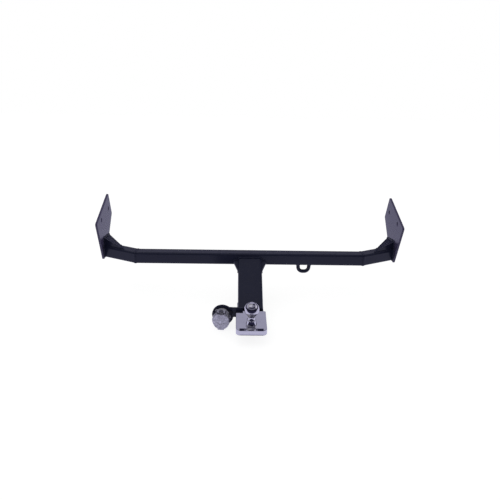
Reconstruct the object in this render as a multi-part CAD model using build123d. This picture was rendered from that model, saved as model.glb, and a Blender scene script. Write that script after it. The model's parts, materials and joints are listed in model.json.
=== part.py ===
from build123d import *
import os
from math import atan2, cos, pi, radians, sin, sqrt, tan

# Chassis-mounted trailer hitch with a bolt-on ball plate and a round trailer socket.
# Origin at the centre of the tow ball. X to the right as seen from behind the vehicle,
# Y forward to the vehicle, Z up. Millimetres and degrees.

# Cross tube: square hollow section, with its own ends bent forward at mitred joints
TUBE_SIZE = 45.0
TUBE_WALL = 4.0
TUBE_CORNER = 7.0
TUBE_Y = 360.0
TUBE_Z = 34.0
BEND_X = 430.0
BEND_ANGLE = 25.0

# Side plates that bolt to the insides of the chassis rails; corners are (Y, Z)
PLATE_INSIDE = 561.0
PLATE_THICK = 8.0
PLATE_CORNER = 7.0
PLATE_EDGE = 1.0
PLATE_TOP_REAR = (312.0, 176.0)
PLATE_TOP_FRONT = (547.0, 221.0)
PLATE_NOSE = (592.0, 124.0)
PLATE_THROAT = (514.0, 62.0)
PLATE_BOTTOM_FRONT = (456.0, 4.0)
PLATE_BOTTOM_REAR = (392.0, 4.0)
RAIL_HOLE_RADIUS = 8.5
RAIL_HOLE_Z = 165.0
RAIL_HOLE_Y = 392.0
RAIL_HOLE_SPACING = 136.0

# Corner gussets: folded plates that brace each side plate to the top of its end tube
GUSSET_THICK = 6.0
GUSSET_PEAK = 88.0
GUSSET_RISE = 40.0
GUSSET_FRONT_X = 497.0
GUSSET_REAR_X = 479.0
GUSSET_OVERHANG = 4.0
GUSSET_THROAT_SETBACK = 2.0
GUSSET_THROAT_RISE = 1.5

# Drop arm: rectangular hollow section from the cross tube down to the ball plate
ARM_WIDTH = 89.0
ARM_DEPTH = 50.0
ARM_WALL = 5.0
ARM_CORNER = 8.0
ARM_TOP_Z = 41.0
ARM_END_Y = 120.0
ARM_END_Z = -58.5
ARM_TUCK = 15.0
ARM_OVERRUN = 120.0

# Webs in the corners between the arm's sides and the cross tube, along the arm's slope
ARM_GUSSET_WIDE = 17.0
ARM_GUSSET_LONG = 54.0
ARM_GUSSET_THICK = 8.0
ARM_GUSSET_TIP = 2.0
ARM_GUSSET_SQUARE = 14.0
ARM_GUSSET_SUNK = 13.0

# Ball plate and the arm's foot plate beneath it
BALL_PLATE_WIDTH = 104.0
BALL_PLATE_THICK = 20.0
BALL_PLATE_BACK = -38.0
BALL_PLATE_FRONT = 97.5
BALL_PLATE_CORNER = 15.0
BALL_PLATE_FRONT_CORNER = 3.0
BALL_PLATE_TOP_ROUND = 1.5
BALL_PLATE_UNDER_EDGE = 1.0
BEVEL_DEEP = 2.5
BEVEL_LONG = 12.5
BEVEL_WIDTH = 80.0
NUT_RECESS_RADIUS = 23.0
NUT_RECESS_DEEP = 9.0
FOOT_THICK = 12.0
FOOT_WIDTH = 90.0
FOOT_BACK = 24.0
FOOT_FRONT = 206.0
FOOT_CORNER = 12.0

# Tow ball, its shank, the nut sunk in the ball plate, and the bolts under the foot
BALL_RADIUS = 25.0
BALL_HEIGHT = 58.0
CROWN_RADIUS = 8.0
NECK_RADIUS = 12.5
NECK_BLEND = 1.5
COLLAR_RADIUS = 15.5
COLLAR_RISE = 20.5
COLLAR_BAND = 2.0
SKIRT_FLARE = 1.2
FLANGE_RADIUS = 20.5
FLANGE_THICK = 4.5
FLANGE_FLATS = 36.0
SHANK_RADIUS = 11.0
SHANK_CLEARANCE = 0.25
SHANK_END = -92.0
SHANK_POINT = 1.5
LOCK_WASHER_THICK = 4.0
LOCK_WASHER_RADIUS = 18.5
LOCK_WASHER_SPLIT = 2.4
LOCK_WASHER_TILT = 25.0
HEX_TURN_ANGLE = 30.0
BALL_NUT_FLATS = 34.0
BALL_NUT_HEIGHT = 16.0
FOOT_BOLT_X = 27.0
FOOT_BOLT_ROWS = (42.0, 78.0)
FOOT_BOLT_RADIUS = 6.0
FOOT_BOLT_CLEARANCE = 0.75
FOOT_BOLT_FLATS = 18.0
FOOT_BOLT_HEAD = 7.5
FOOT_BOLT_REACH = 14.0
FOOT_TAP_SPARE = 2.0
FOOT_WASHER_THICK = 2.5
FOOT_WASHER_RADIUS = 12.0

# Safety chain loop under the cross tube
LOOP_X = 206.5
LOOP_Y = 352.0
LOOP_ROD = 14.0
LOOP_WIDTH = 57.0
LOOP_DROP = 36.5
LOOP_BEND = 17.0
LOOP_TAPER = 3.0

# Trailer socket: its place, its turn to the left, and its bracket
SOCKET_TURN = 8.0
SOCKET_CENTRE = (-97.5, 108.0, -79.0)
BRACKET_THICK = 6.0
BRACKET_Z = -66.0
BRACKET_HEIGHT = 36.0
BRACKET_DISC_RADIUS = 38.0
BRACKET_END_X = -27.0
BRACKET_BEND = 36.0
BRACKET_BEND_RADIUS = 9.0
BRACKET_TIP = 10.0
BRACKET_HOLE = 21.0

# Socket housing
GASKET_THICK = 2.0
FLANGE_PLATE_THICK = 5.0
FLANGE_PLATE_ROUND = 1.2
LUG_RADIUS = 6.0
LUG_SIDE = (29.5, 12.0)
LUG_BOTTOM = 31.9
BARREL_RADIUS = 26.5
BARREL_LENGTH = 30.0
BARREL_DRAFT = 1.0
BARREL_SKIRT = 0.5
BARREL_SKIRT_RISE = 2.5
BARREL_EDGE = 1.0
HUB_RADIUS = 28.0
MOUTH_RADIUS = 20.75
KEYWAY_WIDTH = 5.0
KEYWAY_DEPTH = 1.8

# Contact block, contacts, screws, nuts and the boot behind the bracket
INSERT_RADIUS = 18.0
INSERT_SEAT_RADIUS = 20.5
INSERT_BACK_RADIUS = 17.0
INSERT_BACK_LENGTH = 15.0
INSERT_SEAT_LENGTH = 7.0
INSERT_NOSE_LENGTH = 7.3
INSERT_EDGE = 0.8
INSERT_CLEARANCE = 0.1
INSERT_SLOT = 3.0
CONTACT_RING = 11.5
CONTACT_RADIUS = 2.6
CONTACT_BORE = 1.75
CONTACT_SETBACK = 1.3
CONTACT_LENGTH = 33.0
CONTACT_PIN_DEPTH = 14.0
CONTACT_WIRE_DEPTH = 5.0
SCREW_RADIUS = 2.5
SCREW_CLEARANCE = 0.25
SCREW_SPARE = 2.5
SCREW_HEAD_RADIUS = 4.6
SCREW_HEAD_HEIGHT = 3.0
SCREW_HEAD_ROUND = 1.3
SCREW_SLOT_LENGTH = 5.0
SCREW_SLOT_WIDTH = 1.1
SCREW_SLOT_DEPTH = 1.5
SOCKET_NUT_FLATS = 8.0
SOCKET_NUT_HEIGHT = 4.0
BOOT_RIM_RADIUS = 24.0
BOOT_RIM_THICK = 3.0
BOOT_ROOT_RADIUS = 21.0
BOOT_END_RADIUS = 19.5
BOOT_WALL = 2.0
BOOT_LENGTH = 19.0
BOOT_CONE_LENGTH = 25.0
BOOT_NECK_RADIUS = 7.5
BOOT_NECK_DRAFT = 0.3
BOOT_NECK_LENGTH = 11.0
CABLE_RADIUS = 4.0

# Socket lid and its seal
LID_RADIUS = 31.0
LID_LIP = 35.5
LID_LIP_RADIUS = 28.0
LID_DEPTH = 10.0
LID_OVERLAP = 4.0
LID_SKIN = 2.2
LID_ROUND = 4.0
LID_RECESS_RADIUS = 15.0
LID_RECESS_DEPTH = 0.9
LID_NOTCH_DROP = 10.5
LID_TAB_WIDTH = 22.0
LID_TAB_THICK = 3.0
LID_TAB_DEPTH = 7.0
LID_TAB_CORNER = 1.4
SEAL_GAP = 0.3
SEAL_OUTER = 24.6
SEAL_INNER = 17.75

# Hinge: ears on the housing, knuckles on the lid, a pin, and a torsion spring
HINGE_HEIGHT = 34.5
HINGE_FORWARD = 38.0
KNUCKLE_RADIUS = 4.5
KNUCKLE_INNER = 13.3
KNUCKLE_OUTER = 18.2
KNUCKLE_ARM_DROP = 13.5
KNUCKLE_ARM_GAP = 0.6
EAR_INNER = 7.8
EAR_OUTER = 13.0
EAR_ROOT_RADIUS = 3.2
EAR_ROOT_SUNK = 5.0
EAR_ROOT_BACK = 9.0
EAR_ROOT_FRONT = 3.5
PIN_RADIUS = 2.0
PIN_RUNNING_GAP = 0.05
PIN_SPARE = 0.6
PIN_HEAD_RADIUS = 3.4
PIN_HEAD_THICK = 1.8
PIN_HEAD_ROUND = 1.1
PIN_TAIL_RADIUS = 2.6
PIN_TAIL_THICK = 1.2
PIN_TAIL_ROUND = 0.7
SPRING_WIRE = 1.3
SPRING_RADIUS = 4.0
SPRING_PITCH = 1.85
SPRING_TURNS = 5
SPRING_BACK_LEG = 11.0
SPRING_FRONT_LEG = 12.0
SPRING_LEG_BEND = 2.6
SPRING_LEG_GAP = 0.15
SPRING_REST_LENGTH = 6.0
SPRING_SAMPLE = 0.35

# Heights and faces worked out from the driving dimensions
TUBE_HALF = TUBE_SIZE / 2
TUBE_FLAT = TUBE_HALF - TUBE_CORNER
TUBE_TOP = TUBE_Z + TUBE_HALF
TUBE_BOTTOM = TUBE_Z - TUBE_HALF
TUBE_REAR = TUBE_Y - TUBE_HALF
ARM_SLOPE = atan2(ARM_TOP_Z - ARM_END_Z, TUBE_REAR - ARM_END_Y)
ARM_ALONG = Vector(0, cos(ARM_SLOPE), sin(ARM_SLOPE))
ARM_UPWARD = Vector(0, -sin(ARM_SLOPE), cos(ARM_SLOPE))
PLATE_TOP = -BALL_HEIGHT
PLATE_UNDER = PLATE_TOP - BALL_PLATE_THICK
FOOT_UNDER = PLATE_UNDER - FOOT_THICK
NUT_SEAT = PLATE_UNDER + NUT_RECESS_DEEP
BRACKET_FACE = BRACKET_THICK / 2
GASKET_FACE = BRACKET_FACE + GASKET_THICK
FLANGE_FACE = GASKET_FACE + FLANGE_PLATE_THICK
MOUTH_FACE = FLANGE_FACE + BARREL_LENGTH
INSERT_SEAT_FACE = GASKET_FACE + INSERT_SEAT_LENGTH
INSERT_FACE = INSERT_SEAT_FACE + INSERT_NOSE_LENGTH
LID_BACK = MOUTH_FACE - LID_OVERLAP
LID_FACE = LID_BACK + LID_DEPTH

# The socket's own axes: x to the right, y up, z out of its mouth
SOCKET_PLANE = Plane(
    origin=SOCKET_CENTRE,
    x_dir=(cos(radians(SOCKET_TURN)), -sin(radians(SOCKET_TURN)), 0),
    z_dir=(-sin(radians(SOCKET_TURN)), -cos(radians(SOCKET_TURN)), 0),
)
# Profiles seen from the socket's right: x is up, y is out of its mouth
SIDE_VIEW = Plane(origin=(0, 0, 0), x_dir=(0, 1, 0), z_dir=(1, 0, 0))

ON_TOP = (Align.CENTER, Align.CENTER, Align.MIN)
BELOW = (Align.CENTER, Align.CENTER, Align.MAX)


def hollow_section(width, height, corner, wall):
    """Rounded rectangular tube section on XY."""
    outside = RectangleRounded(width, height, corner)
    inside = RectangleRounded(width - 2 * wall, height - 2 * wall, corner - wall)
    return outside - inside


def hex_prism(flats, height, bottom):
    """Hexagon bar from a bottom height, with the corners of its lower end turned off."""
    corner_radius = flats / sqrt(3)
    turned_radius = flats / 2 - 0.5
    outside = corner_radius + 1
    taper = (outside - turned_radius) * tan(radians(HEX_TURN_ANGLE))
    blank = Pos(0, 0, bottom) * extrude(RegularPolygon(corner_radius, 6), height)
    outline = Polyline(
        (0, bottom),
        (turned_radius, bottom),
        (outside, bottom + taper),
        (outside, bottom + height),
        (0, bottom + height),
        close=True,
    )
    return blank & revolve(Plane.XZ * make_face(outline), Axis.Z)


def mitre_plane():
    """Plane that halves the angle between the cross tube and the right end tube."""
    half = radians(BEND_ANGLE / 2)
    return Plane(origin=(BEND_X, TUBE_Y, TUBE_Z), z_dir=(cos(half), sin(half), 0))


def make_cross_tube():
    """Square tube between the two mitred joints."""
    reach = BEND_X + TUBE_SIZE
    section = hollow_section(TUBE_SIZE, TUBE_SIZE, TUBE_CORNER, TUBE_WALL)
    start = Plane(origin=(-reach, TUBE_Y, TUBE_Z), x_dir=(0, 1, 0), z_dir=(1, 0, 0))
    tube = extrude(start * section, 2 * reach)
    right = mitre_plane()
    tube = split(tube, bisect_by=right, keep=Keep.BOTTOM)
    tube = mirror(tube, Plane.YZ)
    return split(tube, bisect_by=right, keep=Keep.BOTTOM)


def make_end_tube():
    """Right end tube, from its mitre out and forward to the side plate's inner face."""
    turn = radians(BEND_ANGLE)
    along = Vector(cos(turn), sin(turn), 0)
    bend = Vector(BEND_X, TUBE_Y, TUBE_Z)
    section = hollow_section(TUBE_SIZE, TUBE_SIZE, TUBE_CORNER, TUBE_WALL)
    start = Plane(origin=bend - along * TUBE_SIZE, x_dir=(-sin(turn), cos(turn), 0), z_dir=along)
    tube = extrude(start * section, PLATE_INSIDE - BEND_X + 3 * TUBE_SIZE)
    tube = split(tube, bisect_by=mitre_plane(), keep=Keep.TOP)
    wall = Plane(origin=(PLATE_INSIDE, 0, 0), z_dir=(1, 0, 0))
    return split(tube, bisect_by=wall, keep=Keep.BOTTOM)


def make_side_plate():
    """Right side plate: flat, with rounded corners, two bolt holes and broken edges."""
    corners = Polyline(
        PLATE_TOP_REAR,
        PLATE_TOP_FRONT,
        PLATE_NOSE,
        PLATE_THROAT,
        PLATE_BOTTOM_FRONT,
        PLATE_BOTTOM_REAR,
        close=True,
    )
    outline = make_face(corners)
    outline = fillet(outline.vertices(), PLATE_CORNER)
    for step in (0, 1):
        centre = (RAIL_HOLE_Y + step * RAIL_HOLE_SPACING, RAIL_HOLE_Z)
        outline = outline - Pos(*centre) * Circle(RAIL_HOLE_RADIUS)
    inner_face = Plane(origin=(PLATE_INSIDE, 0, 0), x_dir=(0, 1, 0), z_dir=(1, 0, 0))
    plate = extrude(inner_face * outline, PLATE_THICK)
    rims = plate.faces().sort_by(Axis.X)
    return chamfer(rims[0].outer_wire().edges() + rims[-1].outer_wire().edges(), PLATE_EDGE)


def end_tube_line(x, offset):
    """Y of a line beside the right end tube's axis, at a given X and sideways offset."""
    turn = radians(BEND_ANGLE)
    return TUBE_Y + (x - BEND_X) * tan(turn) + offset / cos(turn)


def make_gusset():
    """Right gusset: a ramp from the tube's top up to the side plate, with a rear web."""
    start = (GUSSET_FRONT_X, end_tube_line(GUSSET_FRONT_X, TUBE_FLAT + GUSSET_OVERHANG))
    rear_inner = (GUSSET_REAR_X, end_tube_line(GUSSET_REAR_X, -TUBE_FLAT))
    rear_outer = (PLATE_INSIDE, end_tube_line(PLATE_INSIDE, -TUBE_FLAT))
    throat = (PLATE_INSIDE, PLATE_THROAT[0] - GUSSET_THROAT_SETBACK)
    low = Vector(*start, TUBE_TOP)
    peak = Vector(*rear_outer, GUSSET_PEAK)
    front = Vector(*throat, PLATE_THROAT[1] + GUSSET_THROAT_RISE)
    slope = (peak - low).cross(front - low).normalized()
    footprint = make_face(Polyline(rear_inner, start, throat, rear_outer, close=True))
    block = Pos(0, 0, TUBE_TOP) * extrude(footprint, GUSSET_RISE)
    block = split(block, bisect_by=Plane(origin=low, z_dir=slope), keep=Keep.BOTTOM)
    inner_start = GUSSET_REAR_X - 2 * TUBE_SIZE
    inner_end = PLATE_INSIDE + PLATE_THICK
    web_face = GUSSET_THICK - TUBE_FLAT
    room = Polyline(
        (inner_start, end_tube_line(inner_start, web_face)),
        (inner_start, PLATE_NOSE[0]),
        (inner_end, PLATE_NOSE[0]),
        (inner_end, end_tube_line(inner_end, web_face)),
        close=True,
    )
    hollow = Pos(0, 0, TUBE_TOP - GUSSET_THICK) * extrude(make_face(room), GUSSET_RISE + GUSSET_THICK)
    under = Plane(origin=low - slope * GUSSET_THICK, z_dir=slope)
    return block - split(hollow, bisect_by=under, keep=Keep.BOTTOM)


def make_drop_arm():
    """Rectangular tube cut to sit against and under the cross tube, and on the foot."""
    end = Vector(0, ARM_END_Y, ARM_END_Z)
    origin = end - ARM_UPWARD * (ARM_DEPTH / 2) - ARM_ALONG * ARM_OVERRUN
    section = hollow_section(ARM_WIDTH, ARM_DEPTH, ARM_CORNER, ARM_WALL)
    reach = (TUBE_Y - ARM_END_Y) / cos(ARM_SLOPE) + 2 * ARM_OVERRUN
    arm = extrude(Plane(origin=origin, x_dir=(1, 0, 0), z_dir=ARM_ALONG) * section, reach)
    arm = split(arm, bisect_by=Plane(origin=(0, ARM_END_Y, 0), z_dir=(0, 1, 0)), keep=Keep.TOP)
    arm = split(arm, bisect_by=Plane(origin=(0, 0, PLATE_UNDER), z_dir=(0, 0, 1)), keep=Keep.TOP)
    tuck_end = TUBE_Y + TUBE_HALF - ARM_TUCK
    arm = split(arm, bisect_by=Plane(origin=(0, tuck_end, 0), z_dir=(0, 1, 0)), keep=Keep.BOTTOM)
    clear = 4 * ARM_OVERRUN
    cope = Box(clear, clear, clear, align=(Align.CENTER, Align.MIN, Align.MIN))
    return arm - Pos(0, TUBE_REAR, TUBE_BOTTOM) * cope


def make_arm_gusset():
    """Right-hand web on the arm's side, in line with its slope, up to the tube's rear face."""
    inner = ARM_WIDTH / 2
    outer = inner + ARM_GUSSET_WIDE
    outline = Polyline(
        (inner, ARM_OVERRUN),
        (inner, -ARM_GUSSET_LONG),
        (inner + ARM_GUSSET_TIP, -ARM_GUSSET_LONG),
        (outer, -ARM_GUSSET_SQUARE),
        (outer, ARM_OVERRUN),
        close=True,
    )
    root = Vector(0, TUBE_REAR, ARM_TOP_Z) - ARM_UPWARD * ARM_GUSSET_SUNK
    web = extrude(Plane(origin=root, x_dir=(1, 0, 0), z_dir=ARM_UPWARD) * make_face(outline),
                  ARM_GUSSET_THICK / 2, both=True)
    return split(web, bisect_by=Plane(origin=(0, TUBE_REAR, 0), z_dir=(0, 1, 0)), keep=Keep.BOTTOM)


def foot_bolt_places():
    """Places of the four bolts that hold the ball plate on the foot."""
    return [(side * FOOT_BOLT_X, y) for y in FOOT_BOLT_ROWS for side in (-1, 1)]


def make_arm_foot():
    """Plate under the arm's end that carries the ball plate."""
    length = FOOT_FRONT - FOOT_BACK
    centre_y = (FOOT_FRONT + FOOT_BACK) / 2
    outline = RectangleRounded(FOOT_WIDTH, length, FOOT_CORNER)
    plate = Pos(0, centre_y, FOOT_UNDER) * extrude(outline, FOOT_THICK)
    for x, y in foot_bolt_places():
        plate -= Pos(x, y, FOOT_UNDER) * Cylinder(FOOT_BOLT_RADIUS + FOOT_BOLT_CLEARANCE, 3 * FOOT_THICK)
    bottom = plate.faces().sort_by(Axis.Z)[0]
    return chamfer(bottom.outer_wire().edges(), PLATE_EDGE)


def make_ball_plate():
    """Thick chromed plate with a bevel between its round rear corners and a recess for the ball's nut."""
    length = BALL_PLATE_FRONT - BALL_PLATE_BACK
    outline = Pos(0, (BALL_PLATE_FRONT + BALL_PLATE_BACK) / 2) * Rectangle(BALL_PLATE_WIDTH, length)
    outline = fillet(outline.vertices().sort_by(Axis.Y)[:2], BALL_PLATE_CORNER)
    outline = fillet(outline.vertices().sort_by(Axis.Y)[-2:], BALL_PLATE_FRONT_CORNER)
    plate = Pos(0, 0, PLATE_UNDER) * extrude(outline, BALL_PLATE_THICK)
    top = plate.faces().sort_by(Axis.Z)[-1]
    plate = fillet(top.outer_wire().edges(), BALL_PLATE_TOP_ROUND)
    bottom = plate.faces().sort_by(Axis.Z)[0]
    plate = chamfer(bottom.outer_wire().edges(), BALL_PLATE_UNDER_EDGE)
    wedge = Polyline(
        (BALL_PLATE_BACK, PLATE_TOP - BEVEL_DEEP),
        (BALL_PLATE_BACK + BEVEL_LONG, PLATE_TOP),
        (BALL_PLATE_BACK + BEVEL_LONG, PLATE_TOP + BALL_PLATE_THICK),
        (BALL_PLATE_BACK - BEVEL_LONG, PLATE_TOP + BALL_PLATE_THICK),
        (BALL_PLATE_BACK - BEVEL_LONG, PLATE_TOP - BEVEL_DEEP),
        close=True,
    )
    plate -= extrude(SIDE_VIEW * make_face(wedge), BEVEL_WIDTH / 2, both=True)
    plate -= Pos(0, 0, PLATE_UNDER) * Cylinder(SHANK_RADIUS + SHANK_CLEARANCE, 4 * BALL_PLATE_THICK)
    plate -= Pos(0, 0, PLATE_UNDER) * Cylinder(NUT_RECESS_RADIUS, 2 * NUT_RECESS_DEEP)
    for x, y in foot_bolt_places():
        tapped = Cylinder(FOOT_BOLT_RADIUS, FOOT_BOLT_REACH + FOOT_TAP_SPARE, align=ON_TOP)
        plate -= Pos(x, y, PLATE_UNDER) * tapped
    return plate


def make_tow_ball():
    """Ball, waisted neck, collar, flared skirt, flange with spanner flats, and shank, in one forging."""
    crown = (CROWN_RADIUS, sqrt(BALL_RADIUS**2 - CROWN_RADIUS**2))
    neck_top = (NECK_RADIUS + NECK_BLEND, -sqrt(BALL_RADIUS**2 - (NECK_RADIUS + NECK_BLEND) ** 2))
    collar_top = (COLLAR_RADIUS, COLLAR_RISE - BALL_HEIGHT)
    neck_bottom = (NECK_RADIUS + NECK_BLEND / 2, collar_top[1] + NECK_BLEND)
    waist = (NECK_RADIUS, (neck_top[1] + neck_bottom[1]) / 2)
    collar_bottom = (COLLAR_RADIUS, collar_top[1] - COLLAR_BAND)
    flange_top = (FLANGE_RADIUS, FLANGE_THICK - BALL_HEIGHT)
    skirt_end = (FLANGE_RADIUS - 2, flange_top[1] + 0.8)
    skirt_middle = (COLLAR_RADIUS + SKIRT_FLARE, (collar_bottom[1] + skirt_end[1]) / 2)
    profile = [
        Line((0, crown[1]), crown),
        ThreePointArc(crown, (BALL_RADIUS, 0), neck_top),
        ThreePointArc(neck_top, waist, neck_bottom),
        Line(neck_bottom, collar_top),
        Line(collar_top, collar_bottom),
        ThreePointArc(collar_bottom, skirt_middle, skirt_end),
        Line(skirt_end, flange_top),
        Line(flange_top, (FLANGE_RADIUS, PLATE_TOP)),
        Line((FLANGE_RADIUS, PLATE_TOP), (SHANK_RADIUS, PLATE_TOP)),
        Line((SHANK_RADIUS, PLATE_TOP), (SHANK_RADIUS, SHANK_END + SHANK_POINT)),
        Line((SHANK_RADIUS, SHANK_END + SHANK_POINT), (SHANK_RADIUS - SHANK_POINT, SHANK_END)),
        Line((SHANK_RADIUS - SHANK_POINT, SHANK_END), (0, SHANK_END)),
        Line((0, SHANK_END), (0, crown[1])),
    ]
    forging = revolve(Plane.XZ * make_face(profile), Axis.Z)
    sideways = (Align.MIN, Align.CENTER, Align.CENTER)
    beyond = Box(FLANGE_RADIUS, 3 * FLANGE_RADIUS, 2 * FLANGE_THICK + 2, align=sideways)
    flat = Pos(FLANGE_FLATS / 2, 0, PLATE_TOP) * beyond
    return forging - flat - mirror(flat, Plane.YZ)


def make_lock_washer():
    """Split spring washer in the ball plate's recess."""
    ring = Circle(LOCK_WASHER_RADIUS) - Circle(SHANK_RADIUS + SHANK_CLEARANCE)
    middle = NUT_SEAT - LOCK_WASHER_THICK / 2
    washer = Pos(0, 0, middle) * extrude(ring, LOCK_WASHER_THICK / 2, both=True)
    blade = Box(LOCK_WASHER_SPLIT, 2 * SHANK_RADIUS, 4 * LOCK_WASHER_THICK)
    return washer - Pos(0, -LOCK_WASHER_RADIUS, middle) * Rot(0, LOCK_WASHER_TILT, 0) * blade


def make_ball_nut():
    """Hexagon nut on the shank."""
    top = NUT_SEAT - LOCK_WASHER_THICK
    nut = hex_prism(BALL_NUT_FLATS, BALL_NUT_HEIGHT, top - BALL_NUT_HEIGHT)
    return nut - Pos(0, 0, top) * Cylinder(SHANK_RADIUS, 3 * BALL_NUT_HEIGHT)


def make_foot_washers():
    """Four plain washers under the foot."""
    ring = Circle(FOOT_WASHER_RADIUS) - Circle(FOOT_BOLT_RADIUS + FOOT_BOLT_CLEARANCE)
    washer = Pos(0, 0, FOOT_UNDER - FOOT_WASHER_THICK) * extrude(ring, FOOT_WASHER_THICK)
    return Compound([Pos(x, y, 0) * washer for x, y in foot_bolt_places()])


def make_foot_bolts():
    """Four hexagon bolts from below into the ball plate."""
    seat = FOOT_UNDER - FOOT_WASHER_THICK
    head = hex_prism(FOOT_BOLT_FLATS, FOOT_BOLT_HEAD, seat - FOOT_BOLT_HEAD)
    reach = PLATE_UNDER + FOOT_BOLT_REACH - seat
    shank = Pos(0, 0, seat) * Cylinder(FOOT_BOLT_RADIUS, reach, align=ON_TOP)
    shank = chamfer(shank.edges().sort_by(Axis.Z)[-1], 1.0)
    return Compound([Pos(x, y, 0) * (head + shank) for x, y in foot_bolt_places()])


def make_chain_loop():
    """Round bar bent to a U with its legs on the underside of the cross tube."""
    half = (LOOP_WIDTH - LOOP_ROD) / 2
    bottom = LOOP_ROD / 2 - LOOP_DROP
    path = FilletPolyline(
        (-half, 0, 0),
        (-half + LOOP_TAPER, 0, bottom),
        (half - LOOP_TAPER, 0, bottom),
        (half, 0, 0),
        radius=LOOP_BEND,
    )
    start = Plane(origin=path @ 0, z_dir=path % 0)
    rod = Pos(LOOP_X, LOOP_Y, TUBE_BOTTOM) * sweep(start * Circle(LOOP_ROD / 2), path=path)
    return split(rod, bisect_by=Plane(origin=(0, 0, TUBE_BOTTOM), z_dir=(0, 0, 1)), keep=Keep.BOTTOM)


def lug_centres():
    """Places of the socket's three fixing screws on its face."""
    side, up = LUG_SIDE
    return [(-side, up), (side, up), (0, -LUG_BOTTOM)]


def flange_outline():
    """Three rounded lugs about a round middle, joined by straight tangents."""
    rims = [Pos(*centre) * Circle(LUG_RADIUS).edge() for centre in lug_centres()]
    rims.append(Circle(HUB_RADIUS).edge())
    return make_face(make_hull(rims))


def make_socket_bracket():
    """Flat bar on edge, welded to the foot beside the ball plate, cranked out to a disc for the socket."""
    turn = radians(SOCKET_TURN)
    centre = Vector(SOCKET_CENTRE[0], SOCKET_CENTRE[1], BRACKET_Z)
    away = Vector(-cos(turn), sin(turn), 0)
    corner = centre - away * BRACKET_BEND
    end = Vector(BRACKET_END_X, corner.Y, corner.Z)
    path = FilletPolyline(end, corner, centre + away * BRACKET_TIP, radius=BRACKET_BEND_RADIUS)
    strip = Plane(origin=end, x_dir=(0, 0, 1), z_dir=(-1, 0, 0)) * Rectangle(BRACKET_HEIGHT, BRACKET_THICK)
    bar = sweep(strip, path=path)
    foot_room = Box(FOOT_WIDTH, 4 * BRACKET_THICK, BRACKET_HEIGHT, align=BELOW)
    bar -= Pos(0, corner.Y, PLATE_UNDER) * foot_room
    bar += SOCKET_PLANE * Cylinder(BRACKET_DISC_RADIUS, BRACKET_THICK)
    bar -= SOCKET_PLANE * Cylinder(BRACKET_HOLE, 4 * BRACKET_THICK)
    for x, y in lug_centres():
        bar -= SOCKET_PLANE * (Pos(x, y, 0) * Cylinder(SCREW_RADIUS + SCREW_CLEARANCE, 4 * BRACKET_THICK))
    return bar


def make_socket_gasket():
    """Flat rubber gasket between the bracket and the socket's flange."""
    sheet = flange_outline() - Circle(BRACKET_HOLE)
    for x, y in lug_centres():
        sheet -= Pos(x, y) * Circle(SCREW_RADIUS + SCREW_CLEARANCE)
    return SOCKET_PLANE * (Pos(0, 0, BRACKET_FACE) * extrude(sheet, GASKET_THICK))


def hinge_ear(side):
    """One hinge ear of the housing, from the barrel's crown up round the pin."""
    root = BARREL_RADIUS - EAR_ROOT_SUNK
    rims = [
        Pos(HINGE_HEIGHT, HINGE_FORWARD) * Circle(KNUCKLE_RADIUS).edge(),
        Pos(root, HINGE_FORWARD - EAR_ROOT_BACK) * Circle(EAR_ROOT_RADIUS).edge(),
        Pos(root, HINGE_FORWARD - EAR_ROOT_FRONT) * Circle(EAR_ROOT_RADIUS).edge(),
    ]
    near_face = EAR_INNER if side > 0 else -EAR_OUTER
    return Pos(near_face, 0, 0) * extrude(SIDE_VIEW * make_face(make_hull(rims)), EAR_OUTER - EAR_INNER)


def make_socket_body():
    """Cast housing: three-lug flange, drafted barrel, hinge ears, keyway and spring rest."""
    flange = Pos(0, 0, GASKET_FACE) * extrude(flange_outline(), FLANGE_PLATE_THICK)
    flange = fillet(flange.faces().sort_by(Axis.Z)[-1].outer_wire().edges(), FLANGE_PLATE_ROUND)
    barrel_end = BARREL_RADIUS - BARREL_DRAFT
    outline = Polyline(
        (0, GASKET_FACE),
        (BARREL_RADIUS + BARREL_SKIRT, GASKET_FACE),
        (BARREL_RADIUS + BARREL_SKIRT, FLANGE_FACE + BARREL_SKIRT),
        (BARREL_RADIUS, FLANGE_FACE + BARREL_SKIRT_RISE),
        (barrel_end, MOUTH_FACE - BARREL_EDGE),
        (barrel_end - BARREL_EDGE, MOUTH_FACE),
        (0, MOUTH_FACE),
        close=True,
    )
    body = flange + revolve(Plane.XZ * make_face(outline), Axis.Z)
    body += hinge_ear(1) + hinge_ear(-1)
    rest_top = HINGE_HEIGHT - SPRING_RADIUS - SPRING_WIRE / 2
    rest_root = BARREL_RADIUS - EAR_ROOT_SUNK
    rest_size = (EAR_INNER + EAR_OUTER, rest_top - rest_root, SPRING_REST_LENGTH)
    rest = Box(*rest_size, align=(Align.CENTER, Align.MIN, Align.MIN))
    body += Pos(0, rest_root, HINGE_FORWARD - SPRING_BACK_LEG - SPRING_REST_LENGTH / 3) * rest
    body -= Pos(0, 0, INSERT_FACE) * extrude(Circle(MOUTH_RADIUS), 2 * BARREL_LENGTH)
    keyway = Box(KEYWAY_WIDTH, 2 * KEYWAY_DEPTH, 2 * BARREL_LENGTH, align=ON_TOP)
    body -= Pos(0, -MOUTH_RADIUS, INSERT_FACE) * keyway
    seat = extrude(Circle(INSERT_SEAT_RADIUS + INSERT_CLEARANCE), 2 * INSERT_SEAT_LENGTH)
    body -= Pos(0, 0, INSERT_SEAT_FACE - 2 * INSERT_SEAT_LENGTH) * seat
    body -= Pos(0, 0, GASKET_FACE) * extrude(Circle(INSERT_RADIUS + INSERT_CLEARANCE), BARREL_LENGTH)
    for x, y in lug_centres():
        body -= Pos(x, y, GASKET_FACE) * Cylinder(SCREW_RADIUS + SCREW_CLEARANCE, 6 * FLANGE_PLATE_THICK)
    body -= Pos(0, HINGE_HEIGHT, HINGE_FORWARD) * Rot(0, 90, 0) * Cylinder(PIN_RADIUS, 4 * EAR_OUTER)
    return SOCKET_PLANE * body


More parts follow.
